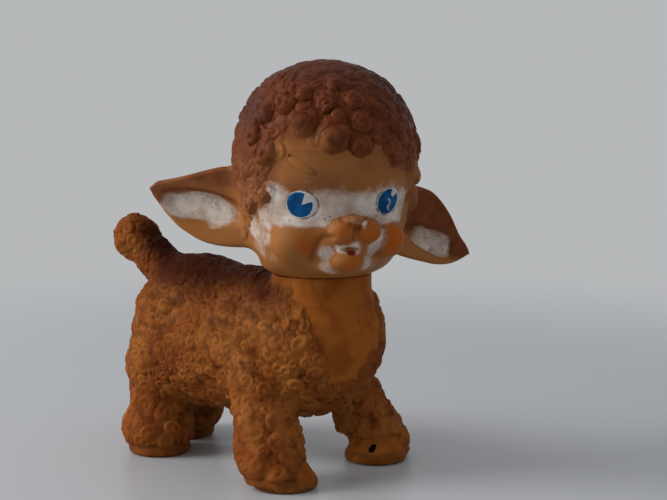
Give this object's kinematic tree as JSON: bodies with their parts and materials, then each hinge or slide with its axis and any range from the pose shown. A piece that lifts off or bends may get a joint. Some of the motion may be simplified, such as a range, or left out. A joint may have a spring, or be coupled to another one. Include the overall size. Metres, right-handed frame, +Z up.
{
  "type": "toy lamb",
  "caption": "Standing soft rubber toy lamb with moulded curls, a dished pair of ears and a head that turns on the neck, with a reed whistle in the belly.",
  "frame": {"origin": "on the ground, under the middle of the lamb's box", "axes": "+Z up, the body's length along Y with the chest towards -Y and the tail towards +Y, +X towards the lamb's left"},
  "size_m": [0.1164, 0.1672, 0.1788],
  "materials": {
    "body_rubber": "aged ochre brown soft rubber, satin",
    "head_rubber": "aged brown soft rubber with worn white and blue paint, satin",
    "whistle_tin": "dull stamped metal",
    "whistle_brass": "dull"
  },
  "bodies": {
    "body": {"body_shell": "body_rubber", "whistle_cup": "whistle_tin", "reed_plate": "whistle_brass", "reed_rivet": "whistle_brass", "whistle_cap": "whistle_tin"},
    "head": {"head_shell": "head_rubber"},
    "reed_tongue": {"reed": "whistle_brass"}
  },
  "joints": [
    {"name": "head_turn", "type": "hinge", "parent": "body", "child": "head", "pos_m": [-0.00894, -0.0383, 0.0877], "axis": [0, 0, 1], "continuous": true},
    {"name": "reed_flutter", "type": "hinge", "parent": "body", "child": "reed_tongue", "pos_m": [-0.00894, -0.0017, 0.02272], "axis": [1, 0, 0], "range_deg": [-3, 4], "stiffness_Nm_per_rad": 0.0002}
  ]
}
